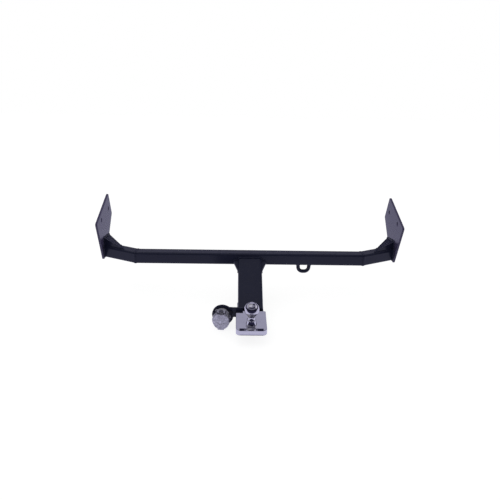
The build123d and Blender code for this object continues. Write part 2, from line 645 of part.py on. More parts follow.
def contact_places():
    """Seven contact places: one in the middle and six about it."""
    places = [(0.0, 0.0)]
    for step in range(6):
        turn = radians(60 * step + 30)
        places.append((CONTACT_RING * cos(turn), CONTACT_RING * sin(turn)))
    return places


def make_socket_insert():
    """Moulded contact block held against a shoulder in the housing."""
    back = GASKET_FACE - INSERT_BACK_LENGTH
    outline = Polyline(
        (0, back),
        (INSERT_BACK_RADIUS, back),
        (INSERT_BACK_RADIUS, GASKET_FACE),
        (INSERT_SEAT_RADIUS, GASKET_FACE),
        (INSERT_SEAT_RADIUS, INSERT_SEAT_FACE),
        (INSERT_RADIUS, INSERT_SEAT_FACE),
        (INSERT_RADIUS, INSERT_FACE - INSERT_EDGE),
        (INSERT_RADIUS - INSERT_EDGE, INSERT_FACE),
        (0, INSERT_FACE),
        close=True,
    )
    block = revolve(Plane.XZ * make_face(outline), Axis.Z)
    for x, y in contact_places():
        block -= Pos(x, y, 0) * Cylinder(CONTACT_RADIUS, 4 * INSERT_RADIUS)
    slot = Box(INSERT_SLOT, INSERT_SLOT, 2 * INSERT_SLOT)
    block -= Pos(0, -INSERT_RADIUS, INSERT_FACE - INSERT_SLOT + INSERT_EDGE) * slot
    return SOCKET_PLANE * block


def make_socket_contacts():
    """Seven brass sleeves, bored in front for the plug's pins and at the back for the wires."""
    front = INSERT_FACE - CONTACT_SETBACK
    back = front - CONTACT_LENGTH
    sleeve = Pos(0, 0, back) * extrude(Circle(CONTACT_RADIUS), CONTACT_LENGTH)
    sleeve -= Pos(0, 0, front) * Cylinder(CONTACT_BORE, 2 * CONTACT_PIN_DEPTH)
    sleeve -= Pos(0, 0, back) * Cylinder(CONTACT_BORE, 2 * CONTACT_WIRE_DEPTH)
    return SOCKET_PLANE * Compound([Pos(x, y, 0) * sleeve for x, y in contact_places()])


def make_cable_gland():
    """Hollow rubber boot behind the bracket that narrows to an empty cable hole."""
    face = -BRACKET_FACE
    neck = face - BOOT_CONE_LENGTH
    inner_radius = BOOT_ROOT_RADIUS - BOOT_WALL
    inner_end = BOOT_END_RADIUS - BOOT_WALL
    outline = Polyline(
        (inner_radius, face),
        (BOOT_RIM_RADIUS, face),
        (BOOT_RIM_RADIUS, face - BOOT_RIM_THICK),
        (BOOT_ROOT_RADIUS, face - BOOT_RIM_THICK - 1),
        (BOOT_END_RADIUS, face - BOOT_LENGTH),
        (BOOT_NECK_RADIUS + BOOT_WALL, neck),
        (BOOT_NECK_RADIUS, neck - 1),
        (BOOT_NECK_RADIUS - BOOT_NECK_DRAFT, neck - BOOT_NECK_LENGTH),
        (CABLE_RADIUS, neck - BOOT_NECK_LENGTH),
        (CABLE_RADIUS, neck),
        (BOOT_NECK_RADIUS + BOOT_WALL / 2, neck + BOOT_WALL + 0.5),
        (inner_end, face - BOOT_LENGTH + 1),
        (inner_radius, face - BOOT_RIM_THICK),
        close=True,
    )
    return SOCKET_PLANE * revolve(Plane.XZ * make_face(outline), Axis.Z)


def make_socket_screws():
    """Three cross-slotted pan-head screws through the flange, gasket and bracket."""
    end = -BRACKET_FACE - SOCKET_NUT_HEIGHT - SCREW_SPARE
    head = Pos(0, 0, FLANGE_FACE) * Cylinder(SCREW_HEAD_RADIUS, SCREW_HEAD_HEIGHT, align=ON_TOP)
    head = fillet(head.edges().sort_by(Axis.Z)[-1], SCREW_HEAD_ROUND)
    for turn in (0, 90):
        slot = Rot(0, 0, turn) * Box(SCREW_SLOT_LENGTH, SCREW_SLOT_WIDTH, 2 * SCREW_SLOT_DEPTH)
        head -= Pos(0, 0, FLANGE_FACE + SCREW_HEAD_HEIGHT) * slot
    shank = Pos(0, 0, end) * extrude(Circle(SCREW_RADIUS), FLANGE_FACE - end)
    return SOCKET_PLANE * Compound([Pos(x, y, 0) * (head + shank) for x, y in lug_centres()])


def make_socket_nuts():
    """Three hexagon nuts behind the bracket."""
    bottom = -BRACKET_FACE - SOCKET_NUT_HEIGHT
    nut = hex_prism(SOCKET_NUT_FLATS, SOCKET_NUT_HEIGHT, bottom)
    nut -= Pos(0, 0, bottom) * Cylinder(SCREW_RADIUS, 4 * SOCKET_NUT_HEIGHT)
    return SOCKET_PLANE * Compound([Pos(x, y, 0) * nut for x, y in lug_centres()])


def lid_outline():
    """Round cover drawn out below to a lip."""
    lip = Pos(0, LID_LIP_RADIUS - LID_LIP) * Circle(LID_LIP_RADIUS)
    return make_face(make_hull([Circle(LID_RADIUS).edge(), lip.edge()]))


def lid_knuckle(side):
    """One knuckle of the lid, with the arm that joins it to the cover."""
    arm = make_face(
        Polyline(
            (HINGE_HEIGHT - KNUCKLE_ARM_DROP, MOUTH_FACE + KNUCKLE_ARM_GAP),
            (HINGE_HEIGHT - 3.4, MOUTH_FACE + KNUCKLE_ARM_GAP),
            (HINGE_HEIGHT, HINGE_FORWARD),
            (HINGE_HEIGHT + 2.2, HINGE_FORWARD + 3.9),
            (HINGE_HEIGHT - 7.5, LID_FACE - 0.6),
            (HINGE_HEIGHT - KNUCKLE_ARM_DROP, LID_FACE),
            close=True,
        )
    )
    profile = arm + Pos(HINGE_HEIGHT, HINGE_FORWARD) * Circle(KNUCKLE_RADIUS)
    near_face = KNUCKLE_INNER if side > 0 else -KNUCKLE_OUTER
    return Pos(near_face, 0, 0) * extrude(SIDE_VIEW * profile, KNUCKLE_OUTER - KNUCKLE_INNER)


def make_socket_lid():
    """Pressed cover with a rim, a plain round recess, a finger tab and two hinge knuckles."""
    shell = Pos(0, 0, LID_BACK) * extrude(lid_outline(), LID_DEPTH)
    shell = fillet(shell.faces().sort_by(Axis.Z)[-1].outer_wire().edges(), LID_ROUND)
    shell -= Pos(0, 0, LID_BACK) * extrude(offset(lid_outline(), -LID_SKIN), LID_DEPTH - LID_SKIN)
    notch_width = 2 * KNUCKLE_OUTER + 1
    notch = Box(notch_width, 2 * LID_NOTCH_DROP, 4 * LID_DEPTH, align=(Align.CENTER, Align.MIN, Align.CENTER))
    shell -= Pos(0, HINGE_HEIGHT - LID_NOTCH_DROP, LID_FACE) * notch
    shell -= Pos(0, 0, LID_FACE) * Cylinder(LID_RECESS_RADIUS, 2 * LID_RECESS_DEPTH)
    tab = Box(LID_TAB_WIDTH, LID_TAB_THICK, LID_TAB_DEPTH)
    tab = fillet(tab.edges().filter_by(Axis.Z), LID_TAB_CORNER)
    shell += Pos(0, LID_TAB_THICK / 2 - LID_LIP, LID_FACE - LID_TAB_DEPTH / 2) * tab
    shell += lid_knuckle(1) + lid_knuckle(-1)
    bore = Rot(0, 90, 0) * Cylinder(PIN_RADIUS + PIN_RUNNING_GAP, 4 * KNUCKLE_OUTER)
    return SOCKET_PLANE * (shell - Pos(0, HINGE_HEIGHT, HINGE_FORWARD) * bore)


def make_lid_seal():
    """Rubber ring inside the lid that meets the barrel's rim."""
    back = MOUTH_FACE + SEAL_GAP
    ring = Circle(SEAL_OUTER) - Circle(SEAL_INNER)
    return SOCKET_PLANE * (Pos(0, 0, back) * extrude(ring, LID_FACE - LID_SKIN - back))


def make_hinge_pin():
    """Hinge pin with a domed head at one end and a turned-over end at the other."""
    half = KNUCKLE_OUTER + PIN_SPARE
    pin = Cylinder(PIN_RADIUS, 2 * half)
    head = Pos(0, 0, half) * Cylinder(PIN_HEAD_RADIUS, PIN_HEAD_THICK, align=ON_TOP)
    head = fillet(head.edges().sort_by(Axis.Z)[-1], PIN_HEAD_ROUND)
    tail = Pos(0, 0, -half) * Cylinder(PIN_TAIL_RADIUS, PIN_TAIL_THICK, align=BELOW)
    tail = fillet(tail.edges().sort_by(Axis.Z)[0], PIN_TAIL_ROUND)
    return SOCKET_PLANE * (Pos(0, HINGE_HEIGHT, HINGE_FORWARD) * Rot(0, 90, 0) * (pin + head + tail))


def coil_point(turn):
    """Point of the spring's centre line, and its direction, at a count of turns."""
    angle = 2 * pi * turn - pi / 2
    place = Vector(
        SPRING_PITCH * (turn - SPRING_TURNS / 2),
        HINGE_HEIGHT + SPRING_RADIUS * sin(angle),
        HINGE_FORWARD + SPRING_RADIUS * cos(angle),
    )
    heading = Vector(SPRING_PITCH / (2 * pi), SPRING_RADIUS * cos(angle), -SPRING_RADIUS * sin(angle))
    return place, heading.normalized()


def biarc(start, start_heading, end, end_heading):
    """Two arcs that leave one point and reach another in the given directions."""
    chord = end - start
    spread = 2 * (1 - start_heading.dot(end_heading))
    reach = chord.dot(start_heading + end_heading)
    arm = (-reach + sqrt(reach**2 + spread * chord.dot(chord))) / spread
    first_knee = start + start_heading * arm
    second_knee = end - end_heading * arm
    middle = (first_knee + second_knee) * 0.5
    return [
        TangentArc(start, middle, tangent=start_heading),
        TangentArc(middle, end, tangent=(second_knee - first_knee)),
    ]


def spring_path():
    """Back leg, coils of quarter-turn biarcs, and a front leg bent down over the lid."""
    stations = [coil_point(step / 4) for step in range(4 * SPRING_TURNS + 1)]
    first, first_heading = stations[0]
    last, last_heading = stations[-1]
    pieces = [Line(first - first_heading * SPRING_BACK_LEG, first)]
    for (start, start_heading), (end, end_heading) in zip(stations, stations[1:]):
        pieces += biarc(start, start_heading, end, end_heading)
    reach = LID_FACE + SPRING_WIRE / 2 + SPRING_LEG_GAP - last.Z
    knee = last + last_heading * (reach / last_heading.Z)
    bend_start = knee - last_heading * SPRING_LEG_BEND
    down = Vector(0, -1, 0)
    bend_end = knee + down * SPRING_LEG_BEND
    pieces.append(Line(last, bend_start))
    pieces += biarc(bend_start, last_heading, bend_end, down)
    pieces.append(Line(bend_end, knee + down * SPRING_FRONT_LEG))
    return pieces


def spring_gap(pieces):
    """Least gap between the wire's own surfaces, measured on points over half a turn apart."""
    points = []
    length = 0.0
    for piece in pieces:
        count = max(2, round(piece.length / SPRING_SAMPLE))
        for step in range(count):
            points.append((length + piece.length * step / count, piece @ (step / count)))
        length += piece.length
    away = pi * SPRING_RADIUS
    gaps = [
        (second - first).length
        for index, (at, first) in enumerate(points)
        for other, second in points[index + 1:]
        if other - at > away
    ]
    return min(gaps) - SPRING_WIRE


def make_lid_spring():
    """Torsion spring, one unbroken wire about the hinge pin."""
    pieces = spring_path()
    path = Wire(pieces)
    start = Plane(origin=path @ 0, z_dir=path % 0)
    wire = sweep(start * Circle(SPRING_WIRE / 2), path=path)
    ideal = pi * (SPRING_WIRE / 2) ** 2 * path.length
    print("lid_spring: least gap to itself", round(spring_gap(pieces), 2), "mm;",
          "volume over section times length", round(wire.volume / ideal, 3))
    return SOCKET_PLANE * wire


def both_sides(name, right):
    """A right-hand piece and its mirror image, as two named pieces."""
    return {"right_" + name: right, "left_" + name: mirror(right, Plane.YZ)}


def main():
    pieces = {"cross_tube": make_cross_tube()}
    pieces.update(both_sides("end_tube", make_end_tube()))
    pieces.update(both_sides("side_plate", make_side_plate()))
    pieces.update(both_sides("gusset", make_gusset()))
    pieces["drop_arm"] = make_drop_arm()
    pieces.update(both_sides("arm_gusset", make_arm_gusset()))
    pieces["arm_foot"] = make_arm_foot()
    pieces["safety_chain_loop"] = make_chain_loop()
    pieces["ball_plate"] = make_ball_plate()
    pieces["tow_ball"] = make_tow_ball()
    pieces["ball_lock_washer"] = make_lock_washer()
    pieces["ball_nut"] = make_ball_nut()
    pieces["foot_washers"] = make_foot_washers()
    pieces["foot_bolts"] = make_foot_bolts()
    pieces["socket_bracket"] = make_socket_bracket()
    pieces["socket_gasket"] = make_socket_gasket()
    pieces["socket_body"] = make_socket_body()
    pieces["socket_insert"] = make_socket_insert()
    pieces["socket_contacts"] = make_socket_contacts()
    pieces["socket_cable_gland"] = make_cable_gland()
    pieces["socket_screws"] = make_socket_screws()
    pieces["socket_nuts"] = make_socket_nuts()
    pieces["socket_lid"] = make_socket_lid()
    pieces["lid_seal"] = make_lid_seal()
    pieces["lid_hinge_pin"] = make_hinge_pin()
    pieces["lid_spring"] = make_lid_spring()
    os.makedirs("parts", exist_ok=True)
    for name, piece in pieces.items():
        piece.label = name
        export_step(piece, f"parts/{name}.step")


main()
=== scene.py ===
import json
from math import atan2, cos, pi, radians, sin, sqrt, tan

import bpy
import numpy as np
from mathutils import Matrix, Vector


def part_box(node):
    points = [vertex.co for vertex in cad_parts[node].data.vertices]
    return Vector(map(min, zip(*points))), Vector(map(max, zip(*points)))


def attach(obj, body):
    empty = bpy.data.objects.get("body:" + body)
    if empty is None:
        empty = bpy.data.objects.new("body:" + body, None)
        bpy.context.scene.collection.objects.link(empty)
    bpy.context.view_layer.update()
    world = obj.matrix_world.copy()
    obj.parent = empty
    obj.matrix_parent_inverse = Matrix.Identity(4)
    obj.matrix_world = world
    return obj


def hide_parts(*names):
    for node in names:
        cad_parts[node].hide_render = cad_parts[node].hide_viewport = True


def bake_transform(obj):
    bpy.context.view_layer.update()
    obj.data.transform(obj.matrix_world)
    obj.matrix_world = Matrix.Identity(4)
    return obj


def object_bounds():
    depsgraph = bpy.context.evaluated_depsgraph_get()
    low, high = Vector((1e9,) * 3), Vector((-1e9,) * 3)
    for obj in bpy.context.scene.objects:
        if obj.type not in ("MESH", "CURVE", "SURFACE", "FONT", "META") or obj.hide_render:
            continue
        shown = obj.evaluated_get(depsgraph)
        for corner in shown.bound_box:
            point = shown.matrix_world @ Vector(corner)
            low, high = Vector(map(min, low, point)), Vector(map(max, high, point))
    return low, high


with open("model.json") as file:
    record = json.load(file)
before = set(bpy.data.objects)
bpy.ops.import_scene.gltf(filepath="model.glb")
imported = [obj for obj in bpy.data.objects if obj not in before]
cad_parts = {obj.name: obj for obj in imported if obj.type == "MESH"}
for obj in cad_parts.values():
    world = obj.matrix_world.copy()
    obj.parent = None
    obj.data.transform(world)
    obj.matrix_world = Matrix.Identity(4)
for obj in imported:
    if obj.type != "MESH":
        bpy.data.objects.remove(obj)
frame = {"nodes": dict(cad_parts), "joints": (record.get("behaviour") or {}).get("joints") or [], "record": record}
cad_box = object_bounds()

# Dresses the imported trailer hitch: black paint, chrome, zinc and rubber, with weld beads,
# threads, the lid's wound spring, a white studio and the camera. Metres and degrees.

MM = 0.001

# Sizes that the welds, threads and spring follow, read from the frame where it has them
tube_low, tube_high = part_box("cross_tube")
plate_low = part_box("right_side_plate")[0]
gusset_low, gusset_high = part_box("right_gusset")
arm_low, arm_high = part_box("drop_arm")
foot_low, foot_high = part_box("arm_foot")
bracket_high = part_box("socket_bracket")[1]
loop_low, loop_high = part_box("safety_chain_loop")
ball_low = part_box("tow_ball")[0]
nut_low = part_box("ball_nut")[0]

BEND_ANGLE = radians(25)
TUBE_CORNER = 7 * MM
TUBE_HALF = (tube_high.z - tube_low.z) / 2
TUBE_MIDDLE_Y = (tube_high.y + tube_low.y) / 2
TUBE_MIDDLE_Z = (tube_high.z + tube_low.z) / 2
TUBE_FLAT = TUBE_HALF - TUBE_CORNER
BEND_X = tube_high.x - TUBE_HALF * tan(BEND_ANGLE / 2)
PLATE_INSIDE = plate_low.x
GUSSET_FRONT_X = 497 * MM
GUSSET_OVERHANG = 4 * MM
GUSSET_FRONT_Y = 512 * MM
GUSSET_FRONT_Z = 63.5 * MM
ARM_HALF = arm_high.x
ARM_CORNER = 8 * MM
ARM_TOP_Z = 41 * MM
ARM_END_Z = -58.5 * MM
ARM_DEPTH = 50 * MM
ARM_WEB_WIDE = 17 * MM
ARM_WEB_LONG = 54 * MM
ARM_WEB_THICK = 8 * MM
ARM_WEB_SUNK = 13 * MM
LOOP_RADIUS = 7 * MM
BRACKET_THICK = 6 * MM
BRACKET_BAR_LOW = -84 * MM
BRACKET_BEND = 36 * MM

ARM_SLOPE = atan2(ARM_TOP_Z - ARM_END_Z, tube_low.y - arm_low.y)
ARM_DOWN = Vector((0, -cos(ARM_SLOPE), -sin(ARM_SLOPE)))
ARM_UPWARD = Vector((0, -sin(ARM_SLOPE), cos(ARM_SLOPE)))

# The lid's hinge gives the socket's own axes: across, and out of its mouth
lid_hinge = frame["joints"][0]
HINGE = Vector(lid_hinge["pos_m"])
ACROSS = -Vector(lid_hinge["axis"])
OUTWARD = Vector((ACROSS.y, -ACROSS.x, 0))
UP = Vector((0, 0, 1))
HINGE_HEIGHT = 34.5 * MM
HINGE_FORWARD = 38 * MM
SOCKET = HINGE - UP * HINGE_HEIGHT - OUTWARD * HINGE_FORWARD
SCREW_SIDE = (29.5 * MM, 12 * MM)
SCREW_LOW = 31.9 * MM
SCREW_RADIUS = 2.5 * MM
SCREW_NUT_BACK = -7 * MM
SCREW_END = -9.5 * MM
FLANGE_FACE = 10 * MM
HUB_RADIUS = 28 * MM

SPRING_WIRE = 1.3 * MM
SPRING_RADIUS = 4 * MM
SPRING_PITCH = 1.85 * MM
SPRING_TURNS = 5
SPRING_SIDES = 16
SPRING_BACK_LEG = 11 * MM
SPRING_FRONT_LEG = 12 * MM
SPRING_LEG_BEND = 2.6 * MM
SPRING_LEG_GAP = 0.15 * MM
LID_FACE = 46 * MM

# Welds: the legs of each bead, and the pitch and depth of its ripples
FILLET_LEG = 4.6 * MM
BUTT_WIDTH = 5 * MM
BUTT_HEIGHT = 1.5 * MM
GUSSET_WEB_LEG = 3.6 * MM
GUSSET_POST_LEG = 3.8 * MM
GUSSET_TOE_HEIGHT = 2.4 * MM
ARM_WEB_LEG = 3 * MM
FOOT_SIDE_WIDTH = 3.4 * MM
FOOT_SIDE_HEIGHT = 1.9 * MM
LOOP_LEG = 3.4 * MM
LOOP_STEPS = 32
BRACKET_REAR_LEG = 2.2 * MM
BRACKET_FRONT_LEG = 3.6 * MM
RIPPLE_PITCH = 2.7 * MM
RIPPLE_DEPTH = 0.13
RIPPLE_LEAD = 0.8
BEAD_WRAP = 118
BEAD_SIDES = 13
BEAD_STEP = 0.5 * MM
BEAD_END = 3 * MM
BEAD_TIP = 0.12

# Threads
SHANK_RADIUS = 11 * MM
SHANK_PITCH = 2.5 * MM
SHANK_RIDGE = 0.75 * MM
SCREW_PITCH = 0.8 * MM
SCREW_RIDGE = 0.28 * MM
THREAD_FLANK = 0.46
THREAD_STEPS = 48

# Studio: the tints and levels that metal and paint mirror, by the height and heading of the view
STUDIO_TINT = (0.77, 0.76, 1.0)
DUSK_TINT = (0.45, 0.42, 1.0)
SCREEN_LEVEL = 0.54
CEILING_LEVEL = 0.34
DARKEST_LEVEL = 0.05
ROOM_SHADE = 0.6
FILL_LEVEL = 0.5

# Floor: its levels to the camera, to diffuse light and to mirrors, and where mirrors see painted light and shade
# on it
FLOOR_REACH = 4.0
FLOOR_WHITE = 0.84
FLOOR_SHADED = 0.33
FLOOR_PLAIN = 0.78
FLOOR_MIRRORED = 0.92
FLOOR_DIM = 0.06
FLOOR_LIT_Y = (-0.156, -0.147)
FLOOR_FADE_Y = (0.5, 1.1)
FLOOR_FADE = 0.4
# Painted shadow under the ball plate, seen only in mirrors: its edges ahead and beside
PLATE_SHADE_Y = (-0.115, -0.105)
PLATE_SHADE_X = (0.045, 0.06)

# Camera, fitted to the side plates, the tube, the arm and the ball in the photograph
CAMERA_PLACE = (-0.0659, -1.8374, 0.9744)
CAMERA_YAW = radians(1.722)
CAMERA_PITCH = radians(22.5)
CAMERA_ROLL = radians(1.382)
CAMERA_LENS = 45
CAMERA_SENSOR = 36


class Signal:
    """A node's output. Arithmetic on it adds Math nodes to the same tree."""

    def __init__(self, socket):
        self.socket = socket

    def math(self, operation, *values):
        node = self.socket.id_data.nodes.new("ShaderNodeMath")
        node.operation = operation
        for target, value in zip(node.inputs, values):
            feed(target, value)
        return Signal(node.outputs[0])

    def __add__(self, other):
        return self.math("ADD", self, other)

    def __sub__(self, other):
        return self.math("SUBTRACT", self, other)

    def __rsub__(self, other):
        return self.math("SUBTRACT", other, self)

    def __mul__(self, other):
        return self.math("MULTIPLY", self, other)

    def __pow__(self, other):
        return self.math("POWER", self, other)

    def __neg__(self):
        return self.math("MULTIPLY", self, -1)

    def __abs__(self):
        return self.math("ABSOLUTE", self)

    __radd__ = __add__
    __rmul__ = __mul__

    def between(self, low, high):
        """0 below low, 1 above high, and smooth in between."""
        node = self.socket.id_data.nodes.new("ShaderNodeMapRange")
        node.interpolation_type = "SMOOTHSTEP"
        for name, value in (("Value", self), ("From Min", low), ("From Max", high)):
            feed(node.inputs[name], value)
        return Signal(node.outputs[0])


def feed(target, value):
    """Links a signal to a socket, or sets the socket's own value."""
    if isinstance(value, Signal):
        target.id_data.links.new(value.socket, target)
    elif target.type == "RGBA" and len(value) == 3:
        target.default_value = (*value, 1)
    else:
        target.default_value = value


class Finish:
    """The node tree of one material, or of the world."""

    def __init__(self, name, owner=None):
        self.owner = owner or bpy.data.materials.new(name)
        self.owner.use_nodes = True
        self.tree = self.owner.node_tree
        self.tree.nodes.clear()

    def node(self, kind, settings=None, inputs=None, output=0):
        """Adds a node: its settings first, then its sockets' values or links."""
        made = self.tree.nodes.new(kind)
        for name, value in (settings or {}).items():
            setattr(made, name, value)
        for name, value in (inputs or {}).items():
            feed(made.inputs[name], value)
        return Signal(made.outputs[output]) if made.outputs else None

    def place(self, stretch=(1, 1, 1)):
        """The object's own coordinates in metres, stretched along its axes."""
        at_rest = self.node("ShaderNodeTexCoord", output="Object")
        if stretch == (1, 1, 1):
            return at_rest
        return self.node("ShaderNodeVectorMath", {"operation": "MULTIPLY"}, {0: at_rest, 1: stretch})

    def grain(self, scale, detail=2.0, stretch=(1, 1, 1)):
        """Noise from 0 to 1 with the given number of features in a metre."""
        inputs = {"Vector": self.place(stretch), "Scale": scale, "Detail": detail}
        return self.node("ShaderNodeTexNoise", None, inputs, "Fac")

    def cells(self, scale):
        """Crystal-like cells, as the distance to the nearest middle."""
        inputs = {"Vector": self.place(), "Scale": scale}
        return self.node("ShaderNodeTexVoronoi", None, inputs, "Distance")

    def tone(self, share, first, second):
        """A colour between two others."""
        return self.node("ShaderNodeMix", {"data_type": "RGBA"}, {0: share, 6: first, 7: second}, 2)

    def dot(self, first, second):
        """The dot product of two vectors."""
        inputs = {0: first, 1: second}
        return self.node("ShaderNodeVectorMath", {"operation": "DOT_PRODUCT"}, inputs, "Value")

    def facing(self, axis):
        """How far the surface faces along an axis of the object, from -1 to 1."""
        return self.dot(self.node("ShaderNodeTexCoord", output="Normal"), axis)

    def along(self, axis):
        """Distance in metres along an axis of the object."""
        return self.dot(self.place(), axis)

    def soft_normal(self, radius):
        """The normal with its sharp edges rounded off."""
        return self.node("ShaderNodeBevel", {"samples": 6}, {"Radius": radius})

    def edges(self, radius):
        """1 along sharp outer and inner edges and 0 on flats."""
        true_normal = self.node("ShaderNodeNewGeometry", output="Normal")
        return (1 - self.dot(self.soft_normal(radius), true_normal)).between(0.01, 0.16)

    def relief(self, height, depth, normal):
        """A bump of the given depth in metres over a normal."""
        inputs = {"Height": height, "Distance": depth, "Strength": 1.0, "Normal": normal}
        return self.node("ShaderNodeBump", None, inputs)

    def surface(self, **inputs):
        """Ends the material in the one surface shader, and hands the material back."""
        names = {name.replace("_", " "): value for name, value in inputs.items()}
        shader = self.node("ShaderNodeBsdfPrincipled", None, names)
        self.node("ShaderNodeOutputMaterial", None, {"Surface": shader})
        return self.owner


def black_paint(name, film, thin_film, cut_edges=0.0):
    """Stoved black paint: orange peel, dust that lies on top, and edges where the film is thin."""
    paint = Finish(name)
    cloud = paint.grain(9, 3)
    peel = paint.grain(420, 1.5)
    speck = paint.grain(1500, 1).between(0.66, 0.74)
    dust = paint.facing((0, 0, 1)).between(0.5, 1.0) * paint.grain(65, 5).between(0.45, 0.8)
    rub = paint.edges(1.4 * MM) * paint.grain(150, 4).between(0.36, 0.62)
    colour = paint.tone(cloud, film, [1.5 * part for part in film])
    colour = paint.tone(dust * 0.07, colour, (0.09, 0.088, 0.10))
    colour = paint.tone(rub * 0.7, colour, thin_film)
    rough = 0.18 + cloud * 0.10 + dust * 0.12 + rub * 0.16 + speck * 0.1
    height = peel + speck * 0.5
    if cut_edges:
        saw = paint.grain(700, 2, (0.02, 1, 1))
        height = height + saw * cut_edges * (1 - abs(paint.facing((1, 0, 0)))).between(0.6, 0.95)
    bump = paint.relief(height, 0.05 * MM, paint.soft_normal(0.8 * MM))
    return paint.surface(Base_Color=colour, Roughness=rough, Normal=bump, Specular_IOR_Level=0.25)


def socket_metal(name, alloy, film):
    """Bright cast barrel, ears and hub, and lugs that were painted black with the bracket."""
    cast = Finish(name)
    cloud = cast.grain(40, 4)
    sand = cast.grain(950, 3)
    stain = cast.grain(120, 5).between(0.5, 0.8)
    edge = cast.edges(0.8 * MM)
    sideways = cast.along(ACROSS) - SOCKET.dot(ACROSS)
    upward = cast.along(UP) - SOCKET.z
    from_axis = (sideways * sideways + upward * upward) ** 0.5
    from_flange = cast.along(OUTWARD) - (SOCKET.dot(OUTWARD) + FLANGE_FACE)
    ragged = cast.grain(500, 3) * (1.2 * MM)
    barrel = (from_flange + ragged).between(0.6 * MM, 1.4 * MM)
    hub = 1 - (from_axis + ragged).between(HUB_RADIUS + 0.4 * MM, HUB_RADIUS + 1 * MM)
    bare = barrel.math("MAXIMUM", barrel, hub)
    metal = cast.tone(cloud, alloy, [0.82 * part for part in alloy])
    metal = cast.tone(stain * 0.45, metal, [0.55 * part for part in alloy])
    paint = cast.tone(edge * cast.grain(260, 4).between(0.35, 0.7) * 0.6, film, (0.08, 0.08, 0.095))
    colour = cast.tone(bare, paint, metal)
    rough = 0.46 + cloud * 0.12 + stain * 0.1
    bump = cast.relief(sand, 0.05 * MM, cast.soft_normal(0.6 * MM))
    return cast.surface(Base_Color=colour, Metallic=bare * 0.92, Roughness=rough, Normal=bump,
                        Specular_IOR_Level=0.3)


def bright_chrome(name, plate):
    """Chrome over ground steel: faint polishing lines, haze in patches and dull edges."""
    chrome = Finish(name)
    haze = chrome.grain(28, 4)
    lines = chrome.grain(260, 3, (0.12, 1, 1))
    pits = chrome.grain(1900, 1).between(0.7, 0.78)
    edge = chrome.edges(1.4 * MM)
    smear = chrome.grain(75, 5).between(0.55, 0.8)
    colour = chrome.tone(haze, plate, [0.86 * part for part in plate])
    colour = chrome.tone(smear * 0.25, colour, [0.62 * part for part in plate])
    colour = chrome.tone(edge * 0.6, colour, [0.45 * part for part in plate])
    rough = 0.05 + haze * 0.04 + smear * 0.07 + pits * 0.2 + edge * 0.05
    bump = chrome.relief(lines * 0.6 - pits * 0.6, 0.012 * MM, chrome.soft_normal(0.7 * MM))
    return chrome.surface(Base_Color=colour, Metallic=1.0, Roughness=rough, Normal=bump)


def bright_zinc(name, plate):
    """Zinc plate on rolled or pressed steel: small crystals, a blue cast and white bloom."""
    zinc = Finish(name)
    crystal = zinc.cells(520)
    cloud = zinc.grain(60, 4)
    bloom = zinc.grain(180, 5).between(0.58, 0.8)
    edge = zinc.edges(0.6 * MM)
    colour = zinc.tone(cloud, plate, [0.78 * part for part in plate])
    colour = zinc.tone(bloom * 0.35, colour, (0.66, 0.67, 0.68))
    rough = 0.26 + crystal * 0.14 + bloom * 0.25 - edge * 0.08
    bump = zinc.relief(crystal * 0.6 + cloud * 0.4, 0.03 * MM, zinc.soft_normal(0.5 * MM))
    return zinc.surface(Base_Color=colour, Metallic=1.0, Roughness=rough, Normal=bump)


def lid_metal(name, alloy):
    """Bright die-cast alloy: satin flats, a fine cast grain and rubbed edges."""
    metal = Finish(name)
    cloud = metal.grain(60, 4)
    sand = metal.grain(1300, 2)
    stain = metal.grain(210, 5).between(0.40, 0.66)
    edge = metal.edges(0.8 * MM)
    colour = metal.tone(cloud.between(0.3, 0.7), alloy, [0.74 * part for part in alloy])
    colour = metal.tone(stain * 0.6, colour, [0.42 * part for part in alloy])
    colour = metal.tone(edge * 0.4, colour, (0.80, 0.79, 0.84))
    rough = 0.30 + cloud * 0.12 + stain * 0.12 - edge * 0.08
    bump = metal.relief(sand, 0.03 * MM, metal.soft_normal(0.6 * MM))
    return metal.surface(Base_Color=colour, Metallic=0.92, Roughness=rough, Normal=bump)


def moulded(name, body, sheen, pebble):
    """Moulded rubber or plastic: a fine grain, a little bloom and pale worn edges."""
    mould = Finish(name)
    cloud = mould.grain(55, 4)
    skin = mould.grain(pebble, 3)
    bloom = mould.grain(130, 5).between(0.5, 0.8)
    edge = mould.edges(0.6 * MM)
    colour = mould.tone(cloud, body, [1.4 * part for part in body])
    colour = mould.tone(bloom * 0.3 + edge * 0.25, colour, (0.085, 0.085, 0.088))
    rough = sheen + cloud * 0.12 + bloom * 0.08
    bump = mould.relief(skin, 0.06 * MM, mould.soft_normal(0.4 * MM))
    return mould.surface(Base_Color=colour, Roughness=rough, Normal=bump, Specular_IOR_Level=0.4)


def drawn_metal(name, metal_colour, tarnish, lines_scale):
    """Turned brass or drawn wire: fine lines and a little tarnish."""
    metal = Finish(name)
    lines = metal.grain(lines_scale, 2, (1, 1, 0.15))
    spots = metal.grain(210, 4).between(0.5, 0.8)
    edge = metal.edges(0.3 * MM)
    colour = metal.tone(spots * 0.5, metal_colour, tarnish)
    rough = 0.25 + lines * 0.12 + spots * 0.15 - edge * 0.06
    bump = metal.relief(lines, 0.015 * MM, metal.soft_normal(0.2 * MM))
    return metal.surface(Base_Color=colour, Metallic=1.0, Roughness=rough, Normal=bump)


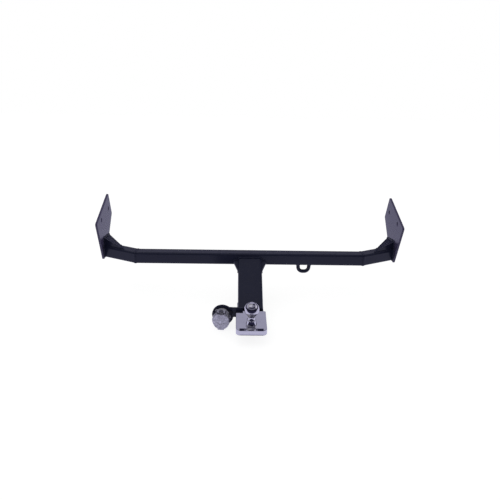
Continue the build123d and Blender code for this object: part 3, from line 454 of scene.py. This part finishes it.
def make_finishes():
    """One material for each slot of the record."""
    return {
        "frame_paint": black_paint("frame_paint", (0.011, 0.0125, 0.030), (0.070, 0.071, 0.092)),
        "plate_paint": black_paint("plate_paint", (0.048, 0.041, 0.090), (0.105, 0.098, 0.14), 0.9),
        "chrome": bright_chrome("chrome", (0.66, 0.65, 0.68)),
        "zinc": bright_zinc("zinc", (0.52, 0.53, 0.55)),
        "socket_alloy": socket_metal("socket_alloy", (0.80, 0.79, 0.83), (0.012, 0.011, 0.020)),
        "lid_alloy": lid_metal("lid_alloy", (0.60, 0.59, 0.62)),
        "insert_plastic": moulded("insert_plastic", (0.018, 0.018, 0.020), 0.38, 1600),
        "brass": drawn_metal("brass", (0.66, 0.50, 0.25), (0.30, 0.20, 0.10), 1400),
        "rubber": moulded("rubber", (0.016, 0.016, 0.017), 0.56, 1100),
        "spring_steel": drawn_metal("spring_steel", (0.34, 0.34, 0.37), (0.18, 0.17, 0.17), 2200),
    }


def dress_nodes(finishes):
    """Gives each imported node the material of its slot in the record."""
    for part in frame["record"]["subparts"]:
        piece = frame["nodes"][part["node"]]
        finish = finishes[part["material_slot"]]
        if not piece.material_slots:
            piece.data.materials.append(finish)
        for holder in piece.material_slots:
            holder.material = finish


def even_steps(stations, step):
    """Places and outward directions at even steps along a run of (place, outward) stations."""
    places = np.array([tuple(place) for place, _ in stations])
    outward = np.array([tuple(way) for _, way in stations])
    along = np.concatenate([[0], np.cumsum(np.linalg.norm(np.diff(places, axis=0), axis=1))])
    marks = np.linspace(0, along[-1], max(3, round(along[-1] / step) + 1))

    def spread(values):
        return np.stack([np.interp(marks, along, values[:, axis]) for axis in range(3)], 1)

    return spread(places), spread(outward), marks


def unit(vectors):
    return vectors / np.linalg.norm(vectors, axis=1, keepdims=True)


def headings(places, closed):
    """Direction of travel at each place."""
    if closed:
        return unit(np.roll(places, -1, axis=0) - np.roll(places, 1, axis=0))
    return unit(np.gradient(places, axis=0))


def swept_mesh(name, places, outward, profile, swell, closed, finish):
    """Mesh of a closed profile carried along places. profile holds (sideways, outward) rows in
    metres, and swell scales them at each place and each row."""
    ahead = headings(places, closed)
    outward = unit(outward - ahead * np.sum(outward * ahead, axis=1, keepdims=True))
    side = np.cross(ahead, outward)
    offsets = side[:, None] * profile[None, :, :1] + outward[:, None] * profile[None, :, 1:]
    points = places[:, None] + offsets * swell[:, :, None]
    rings, count = points.shape[:2]
    faces = []
    for ring in range(rings if closed else rings - 1):
        here, there = ring * count, (ring + 1) % rings * count
        for step in range(count):
            turn = (step + 1) % count
            faces.append((here + step, here + turn, there + turn, there + step))
    if not closed:
        faces.append(tuple(reversed(range(count))))
        faces.append(tuple((rings - 1) * count + step for step in range(count)))
    mesh = bpy.data.meshes.new(name)
    mesh.from_pydata([tuple(point) for point in points.reshape(-1, 3)], [], faces)
    mesh.update()
    mesh.materials.append(finish)
    for face in mesh.polygons:
        face.use_smooth = len(face.vertices) == 4
    piece = bpy.data.objects.new(name, mesh)
    bpy.context.scene.collection.objects.link(piece)
    return piece


def weld(name, stations, finish, width=FILLET_LEG, height=FILLET_LEG, closed=False):
    """Bead with overlapping ripples, whose crests lead in its middle as a hand-run weld's do."""
    places, outward, marks = even_steps(stations, BEAD_STEP)
    if closed:
        places, outward, marks = places[:-1], outward[:-1], marks[:-1]
    angles = np.radians(np.linspace(-BEAD_WRAP, BEAD_WRAP, BEAD_SIDES))
    profile = np.stack([width * np.sin(angles), height * np.cos(angles)], 1)
    length = marks[-1] + (BEAD_STEP if closed else 0)
    pitch = length / max(1, round(length / RIPPLE_PITCH))
    crest = (marks[:, None] - RIPPLE_LEAD * width * np.cos(angles)[None, :]) / pitch
    ripple = np.abs(np.sin(pi * crest)) ** 0.7
    hand = (1 + 0.045 * np.sin(2 * pi * 5 * marks / length + 1.1)
            + 0.03 * np.sin(2 * pi * 11 * marks / length))
    swell = (1 - RIPPLE_DEPTH + RIPPLE_DEPTH * ripple) * hand[:, None]
    if not closed:
        near_end = np.minimum(np.minimum(marks, marks[-1] - marks) / BEAD_END, 1)
        swell = swell * np.sqrt(np.clip(near_end * (2 - near_end), BEAD_TIP, 1))[:, None]
    bead = swept_mesh(name, places, outward, profile, swell, closed, finish)
    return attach(bead, "root")


def rounded_outline(half_wide, half_high, corner, arc_steps=6):
    """Rows of place and outward direction round a rounded rectangle, from its right side anticlockwise."""
    rows = []
    for quarter in range(4):
        sign_wide = (1, -1, -1, 1)[quarter]
        sign_high = (1, 1, -1, -1)[quarter]
        for step in range(arc_steps + 1):
            turn = pi / 2 * (quarter + step / arc_steps)
            wide = sign_wide * (half_wide - corner) + corner * cos(turn)
            high = sign_high * (half_high - corner) + corner * sin(turn)
            rows.append((wide, high, cos(turn), sin(turn)))
    return rows + rows[:1]


def end_tube_line(x, offset):
    """Y of a line beside an end tube's axis, at a given X and sideways offset."""
    return TUBE_MIDDLE_Y + (x - BEND_X) * tan(BEND_ANGLE) + offset / cos(BEND_ANGLE)


def on_side(side, x, y, z):
    """A place of the right-hand side, or its mirror image on the left."""
    return Vector((side * x, y, z))


def weld_frame_side(side, hand, paint):
    """Beads of one side of the frame: mitre, side plate and corner gusset."""
    outline = rounded_outline(TUBE_HALF, TUBE_HALF, TUBE_CORNER)
    mitre = [
        (on_side(side, BEND_X - across * tan(BEND_ANGLE / 2), TUBE_MIDDLE_Y + across, TUBE_MIDDLE_Z + up),
         on_side(side, -way_across * sin(BEND_ANGLE / 2), way_across * cos(BEND_ANGLE / 2), way_up))
        for across, up, way_across, way_up in outline
    ]
    weld(f"weld_mitre_{hand}", mitre, paint, BUTT_WIDTH, BUTT_HEIGHT, True)
    to_plate = [
        (on_side(side, PLATE_INSIDE, end_tube_line(PLATE_INSIDE, across), TUBE_MIDDLE_Z + up),
         on_side(side, -way_across * sin(BEND_ANGLE) - 1, way_across * cos(BEND_ANGLE), way_up))
        for across, up, way_across, way_up in outline
    ]
    weld(f"weld_side_plate_{hand}", to_plate, paint, FILLET_LEG, FILLET_LEG, True)

    rear_way = (sin(BEND_ANGLE), -cos(BEND_ANGLE))
    web_y = end_tube_line(PLATE_INSIDE, -TUBE_FLAT)
    start = (gusset_low.x, end_tube_line(gusset_low.x, -TUBE_FLAT))
    along_web = on_side(side, rear_way[0], rear_way[1], 1)
    up_web = on_side(side, rear_way[0] - 1, rear_way[1], 0)
    ramp_way = on_side(side, -1.5, 0, 1)
    toe_y = end_tube_line(GUSSET_FRONT_X, TUBE_FLAT + GUSSET_OVERHANG)
    toe_way = on_side(side, -0.7, 0, 1)
    weld(f"weld_gusset_web_{hand}", [
        (on_side(side, *start, tube_high.z), along_web),
        (on_side(side, PLATE_INSIDE, web_y, tube_high.z), along_web),
    ], paint, GUSSET_WEB_LEG, GUSSET_WEB_LEG)
    weld(f"weld_gusset_post_{hand}", [
        (on_side(side, PLATE_INSIDE, web_y, tube_high.z), up_web),
        (on_side(side, PLATE_INSIDE, web_y, gusset_high.z), up_web),
        (on_side(side, PLATE_INSIDE, web_y + 2 * MM, gusset_high.z + 1 * MM), ramp_way),
        (on_side(side, PLATE_INSIDE, GUSSET_FRONT_Y, GUSSET_FRONT_Z), ramp_way),
    ], paint, GUSSET_POST_LEG, GUSSET_POST_LEG)
    weld(f"weld_gusset_toe_{hand}", [
        (on_side(side, *start, tube_high.z), toe_way),
        (on_side(side, GUSSET_FRONT_X, toe_y, tube_high.z), toe_way),
    ], paint, GUSSET_WEB_LEG, GUSSET_TOE_HEIGHT)


def weld_arm(paint):
    """Bead round the arm's root on the cross tube, and those of its webs and foot."""
    rise = 1 / cos(ARM_SLOPE)
    arm_middle_z = ARM_TOP_Z - ARM_DEPTH * rise / 2
    root = []
    for across, up, way_across, way_up in rounded_outline(ARM_HALF, ARM_DEPTH / 2, ARM_CORNER):
        height = arm_middle_z + up * rise
        if height > tube_low.z:
            root.append((Vector((across, tube_low.y, height)), Vector((way_across, -1, way_up))))
    root.sort(key=lambda row: atan2(row[0].x, row[0].z - tube_low.z))
    first, last = Vector((-ARM_HALF, tube_low.y, tube_low.z)), Vector((ARM_HALF, tube_low.y, tube_low.z))
    root = [(first, Vector((-1, -1, 0)))] + root + [(last, Vector((1, -1, 0)))]
    weld("weld_arm_root", root, paint)
    for hand, side in (("left", -1), ("right", 1)):
        for level, sign in (("upper", 1), ("lower", -1)):
            sunk = ARM_WEB_SUNK - sign * ARM_WEB_THICK / 2
            edge = Vector((0, tube_low.y, ARM_TOP_Z)) - ARM_UPWARD * sunk
            edge -= ARM_DOWN * ((edge.y - tube_low.y) / ARM_DOWN.y)
            way = ARM_UPWARD * sign
            corner = edge + Vector((side * ARM_HALF, 0, 0))
            tip = corner + ARM_DOWN * ARM_WEB_LONG
            outer = edge + Vector((side * (ARM_HALF + ARM_WEB_WIDE), 0, 0))
            weld(f"weld_arm_web_{level}_{hand}", [
                (tip, way + Vector((side, 0, 0))),
                (corner, way + Vector((side, 0, 0))),
            ], paint, ARM_WEB_LEG, ARM_WEB_LEG)
            weld(f"weld_web_tube_{level}_{hand}", [
                (corner, way + Vector((0, -1, 0))),
                (outer, way + Vector((0, -1, 0))),
            ], paint, ARM_WEB_LEG, ARM_WEB_LEG)
    toe_y = arm_low.y + (foot_high.z - ARM_END_Z + ARM_DEPTH * rise) / tan(ARM_SLOPE)
    for hand, side in (("left", -1), ("right", 1)):
        weld(f"weld_foot_{hand}", [
            (Vector((side * ARM_HALF, arm_low.y, foot_high.z)), Vector((side, 0, 0.4))),
            (Vector((side * ARM_HALF, toe_y, foot_high.z)), Vector((side, 0, 0.4))),
        ], paint, FOOT_SIDE_WIDTH, FOOT_SIDE_HEIGHT)
    weld("weld_foot_front", [
        (Vector((-ARM_HALF + ARM_CORNER, toe_y, foot_high.z)), Vector((0, 1, 0.25))),
        (Vector((ARM_HALF - ARM_CORNER, toe_y, foot_high.z)), Vector((0, 1, 0.25))),
    ], paint)


def weld_chain_loop(paint):
    """A ring of weld round each leg of the chain loop."""
    middle_x = (loop_low.x + loop_high.x) / 2
    middle_y = (loop_low.y + loop_high.y) / 2
    reach = (loop_high.x - loop_low.x) / 2 - LOOP_RADIUS
    for hand, side in (("left", -1), ("right", 1)):
        ring = []
        for step in range(LOOP_STEPS + 1):
            turn = 2 * pi * step / LOOP_STEPS
            way = Vector((cos(turn), sin(turn), 0))
            place = Vector((middle_x + side * reach, middle_y, tube_low.z)) + way * LOOP_RADIUS
            ring.append((place, way - UP))
        weld(f"weld_loop_{hand}", ring, paint, LOOP_LEG, LOOP_LEG, True)


def weld_bracket(paint):
    """Beads along both sides of the socket's flat bar, where it stands on the foot."""
    bar_y = SOCKET.y + ACROSS.y * BRACKET_BEND
    for hand, side, leg in (("rear", -1, BRACKET_REAR_LEG), ("front", 1, BRACKET_FRONT_LEG)):
        face_y = bar_y + side * BRACKET_THICK / 2
        way = Vector((0, side, 1))
        weld(f"weld_bracket_{hand}", [
            (Vector((bracket_high.x, face_y, foot_high.z)), way),
            (Vector((foot_low.x + 1 * MM, face_y, foot_high.z)), way),
            (Vector((foot_low.x, face_y, foot_high.z - 1 * MM)), Vector((-1, side, 0))),
            (Vector((foot_low.x, face_y, BRACKET_BAR_LOW + 2 * MM)), Vector((-1, side, 0))),
        ], paint, leg, leg)


def thread(name, foot, axis, across, radius, pitch, length, ridge, finish):
    """A V-thread that winds along an axis from foot."""
    other = axis.cross(across)
    turns = length / pitch
    places, outward = [], []
    for step in range(round(turns * THREAD_STEPS) + 1):
        turn = 2 * pi * step / THREAD_STEPS
        way = across * cos(turn) + other * sin(turn)
        places.append(tuple(foot + axis * (pitch * turn / (2 * pi)) + way * radius))
        outward.append(tuple(way))
    places, outward = np.array(places), np.array(outward)
    half = pitch * THREAD_FLANK
    root, crest = -ridge * 0.2, half * 0.2
    profile = np.array([(-half, root), (-crest, ridge), (crest, ridge), (half, root)])
    ends = np.minimum(np.arange(len(places)), np.arange(len(places))[::-1]) / (THREAD_STEPS / 4)
    swell = np.repeat(np.clip(ends, 0.05, 1)[:, None], len(profile), axis=1)
    winding = swept_mesh(name, places, outward, profile, swell, False, finish)
    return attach(winding, "root")


def cut_threads(finishes):
    """Threads on the ball's shank and on the socket's screws, where they come out of their nuts."""
    thread("ball_shank_thread", Vector((0, 0, ball_low.z + 1.8 * MM)), UP, Vector((1, 0, 0)), SHANK_RADIUS,
           SHANK_PITCH, nut_low.z - ball_low.z + 1 * MM, SHANK_RIDGE, finishes["chrome"])
    side, up = SCREW_SIDE
    places = {"left": (-side, up), "right": (side, up), "bottom": (0, -SCREW_LOW)}
    for where, (x, y) in places.items():
        foot = SOCKET + ACROSS * x + UP * y + OUTWARD * (SCREW_END + 0.3 * MM)
        thread(f"screw_thread_{where}", foot, OUTWARD, ACROSS, SCREW_RADIUS, SCREW_PITCH,
               SCREW_NUT_BACK - SCREW_END - 0.5 * MM, SCREW_RIDGE, finishes["frame_paint"])


def spring_line():
    """Centre line of the lid's spring: back leg, whole turns about the pin, and a front leg
    bent down over the lid. Rows are across, up and outward from the hinge."""
    points = []
    turns = np.linspace(0, SPRING_TURNS, 48 * SPRING_TURNS + 1)
    for turn in turns:
        angle = 2 * pi * turn - pi / 2
        across = SPRING_PITCH * (turn - SPRING_TURNS / 2)
        points.append((across, SPRING_RADIUS * sin(angle), SPRING_RADIUS * cos(angle)))
    lean = SPRING_PITCH / (2 * pi)
    heading = np.array([lean, 0, SPRING_RADIUS]) / sqrt(lean**2 + SPRING_RADIUS**2)
    first, last = np.array(points[0]), np.array(points[-1])
    back = [first - heading * SPRING_BACK_LEG * share for share in np.linspace(1, 0, 24)[:-1]]
    reach = LID_FACE - HINGE_FORWARD + SPRING_WIRE / 2 + SPRING_LEG_GAP - last[2]
    knee = last + heading * (reach / heading[2])
    down = np.array([0, -1, 0])
    bend_start, bend_end = knee - heading * SPRING_LEG_BEND, knee + down * SPRING_LEG_BEND
    straight = [last + (bend_start - last) * share for share in np.linspace(0, 1, 12)[1:]]
    bend = []
    for share in np.linspace(0, 1, 10)[1:]:
        bend.append(bend_start * (1 - share) ** 2 + knee * 2 * share * (1 - share) + bend_end * share**2)
    tip = knee + down * SPRING_FRONT_LEG
    leg = [bend_end + (tip - bend_end) * share for share in np.linspace(0, 1, 16)[1:]]
    return np.array([*back, *points, *straight, *bend, *leg])


def untwisted(places, first_way):
    """Outward directions that follow a line without twisting about it."""
    ahead = headings(places, False)
    ways = [np.array(first_way, float)]
    for heading in ahead[1:]:
        way = ways[-1] - heading * np.dot(ways[-1], heading)
        ways.append(way / np.linalg.norm(way))
    return np.array(ways)


def wind_lid_spring(finish):
    """The torsion spring in fine wire, with a back leg toward the housing and a front leg bent down over the lid.
    It stands in for the frame's own lid spring, which is hidden."""
    axes = np.array([tuple(ACROSS), tuple(UP), tuple(OUTWARD)])
    places = spring_line() @ axes + np.array(tuple(HINGE))
    outward = untwisted(places, tuple(UP))
    angles = np.linspace(0, 2 * pi, SPRING_SIDES + 1)[:-1]
    profile = np.stack([np.sin(angles), np.cos(angles)], 1) * SPRING_WIRE / 2
    even = np.ones((len(places), SPRING_SIDES))
    wire = swept_mesh("lid_spring_wire", places, outward, profile, even, False, finish)
    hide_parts("lid_spring")
    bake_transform(wire)


def lay_floor():
    """Pale floor a little below the hitch."""
    height = cad_box[0].z - 1 * MM
    left, right = -FLOOR_REACH, FLOOR_REACH
    corners = [(left, left, height), (right, left, height), (right, right, height), (left, right, height)]
    mesh = bpy.data.meshes.new("studio_floor")
    mesh.from_pydata(corners, [], [(0, 1, 2, 3)])
    floor = bpy.data.objects.new("studio_floor", mesh)
    bpy.context.scene.collection.objects.link(floor)
    mesh.materials.append(floor_surface())


def floor_surface():
    """White with a soft shadow to the camera, and plain to diffuse light. Mirrors see painted light on it:
    lit ahead of a line behind the ball, dim behind that line, and a painted shadow under the ball plate."""
    pale = Finish("studio_floor")
    white = pale.node("ShaderNodeEmission", None, {"Color": (1, 1, 1), "Strength": FLOOR_WHITE})
    shadowed = pale.node("ShaderNodeBsdfDiffuse", None, {"Color": [FLOOR_SHADED] * 3})
    shown = pale.node("ShaderNodeAddShader", None, {0: white, 1: shadowed})
    lit = pale.node("ShaderNodeEmission", None, {"Color": STUDIO_TINT, "Strength": FLOOR_MIRRORED})
    dim = pale.node("ShaderNodeEmission", None, {"Color": DUSK_TINT, "Strength": FLOOR_DIM})
    ahead = pale.along((0, 1, 0))
    beside = abs(pale.along((1, 0, 0)))
    # Painted shadow: mirrors see the floor dim under the ball plate, in a patch as wide as the plate
    painted_plate_shadow = ahead.between(*PLATE_SHADE_Y) * (1 - beside.between(*PLATE_SHADE_X))
    # Painted light seen only in mirrors: the floor is lit ahead of a line behind the ball, fading far ahead, and
    # dim behind that line
    fade = 1 - ahead.between(*FLOOR_FADE_Y) * FLOOR_FADE
    painted_lit_zone = ahead.between(*FLOOR_LIT_Y) * fade * (1 - painted_plate_shadow)
    mirrored = pale.node("ShaderNodeMixShader", None, {0: painted_lit_zone, 1: dim, 2: lit})
    plain = pale.node("ShaderNodeBsdfDiffuse", None, {"Color": [FLOOR_PLAIN] * 3})
    camera, _, seen = ray_kinds(pale)
    reflected = pale.node("ShaderNodeMixShader", None, {0: seen, 1: plain, 2: mirrored})
    mixed = pale.node("ShaderNodeMixShader", None, {0: camera, 1: reflected, 2: shown})
    pale.node("ShaderNodeOutputMaterial", None, {"Surface": mixed})
    pale.owner.cycles.emission_sampling = "NONE"
    return pale.owner


def ray_kinds(finish):
    """1 for rays from the camera, 1 for reflected rays, and 1 for either and for rays through glass."""
    camera = finish.node("ShaderNodeLightPath", output="Is Camera Ray")
    glossy = finish.node("ShaderNodeLightPath", output="Is Glossy Ray")
    through = finish.node("ShaderNodeLightPath", output="Is Transmission Ray")
    return camera, glossy, camera.math("MAXIMUM", camera.math("MAXIMUM", camera, glossy), through)


def light_studio():
    """White to the camera, with two soft lamps. Mirrors see a bright screen above the horizon,
    a dimmer ceiling overhead and a dark room behind the camera."""
    world = bpy.data.worlds.new("studio")
    bpy.context.scene.world = world
    studio = Finish("studio", world)
    way = studio.node("ShaderNodeTexCoord", output="Generated")
    height = studio.node("ShaderNodeSeparateXYZ", None, {0: way}, "Z")
    forward = studio.node("ShaderNodeSeparateXYZ", None, {0: way}, "Y")
    screen = height.between(0.24, 0.38) - height.between(0.5, 0.72)
    ceiling = height.between(0.75, 0.84) * (1 - forward.between(0.1, 0.3))
    room = (-forward).between(0.0, 0.35) * (1 - ceiling)
    above = screen * SCREEN_LEVEL + ceiling * CEILING_LEVEL + DARKEST_LEVEL
    reflected = above * (1 - room * ROOM_SHADE)
    camera, glossy, seen = ray_kinds(studio)
    level = camera + (seen - camera) * reflected + (1 - seen) * FILL_LEVEL
    mirrored = studio.tone(reflected.between(0.0, 0.25), DUSK_TINT, STUDIO_TINT)
    colour = studio.tone(glossy, (1, 1, 1), mirrored)
    backdrop = studio.node("ShaderNodeBackground", None, {"Color": colour, "Strength": level})
    studio.node("ShaderNodeOutputWorld", None, {"Surface": backdrop})
    world.cycles.sampling_method = "NONE"
    lamp("key_lamp", (-1.2, 0.4, 2.8), (0, 0.2, 0), (3.6, 3.6), 14)
    lamp("side_lamp", (2.6, 0.6, 1.6), (0.2, 0.3, 0), (2.4, 2.0), 5)


def lamp(name, place, aim, size, watts):
    """A soft rectangular lamp aimed at a place."""
    light = bpy.data.lights.new(name, "AREA")
    light.shape = "RECTANGLE"
    light.size, light.size_y = size
    light.energy = watts
    holder = bpy.data.objects.new(name, light)
    holder.location = place
    holder.rotation_euler = (Vector(aim) - Vector(place)).to_track_quat("-Z", "Y").to_euler()
    bpy.context.scene.collection.objects.link(holder)


def set_camera():
    """The photograph's view: behind the vehicle, looking down on the hitch."""
    level_right = Vector((cos(CAMERA_YAW), -sin(CAMERA_YAW), 0))
    level_share = cos(CAMERA_PITCH)
    ahead = Vector((sin(CAMERA_YAW) * level_share, cos(CAMERA_YAW) * level_share, -sin(CAMERA_PITCH)))
    level_up = level_right.cross(ahead)
    right = level_right * cos(CAMERA_ROLL) + level_up * sin(CAMERA_ROLL)
    up = level_up * cos(CAMERA_ROLL) - level_right * sin(CAMERA_ROLL)
    data = bpy.data.cameras.new("camera")
    data.lens = CAMERA_LENS
    data.sensor_width = CAMERA_SENSOR
    data.clip_end = 50
    camera = bpy.data.objects.new("camera", data)
    turn = Matrix((right, up, -ahead)).transposed().to_4x4()
    camera.matrix_world = Matrix.Translation(CAMERA_PLACE) @ turn
    bpy.context.scene.collection.objects.link(camera)
    bpy.context.scene.camera = camera
    bpy.context.scene.view_settings.view_transform = "Standard"


def main():
    finishes = make_finishes()
    dress_nodes(finishes)
    paint = finishes["frame_paint"]
    weld_frame_side(1, "right", paint)
    weld_frame_side(-1, "left", paint)
    weld_arm(paint)
    weld_chain_loop(paint)
    weld_bracket(paint)
    cut_threads(finishes)
    wind_lid_spring(finishes["spring_steel"])
    lay_floor()
    light_studio()
    set_camera()


main()
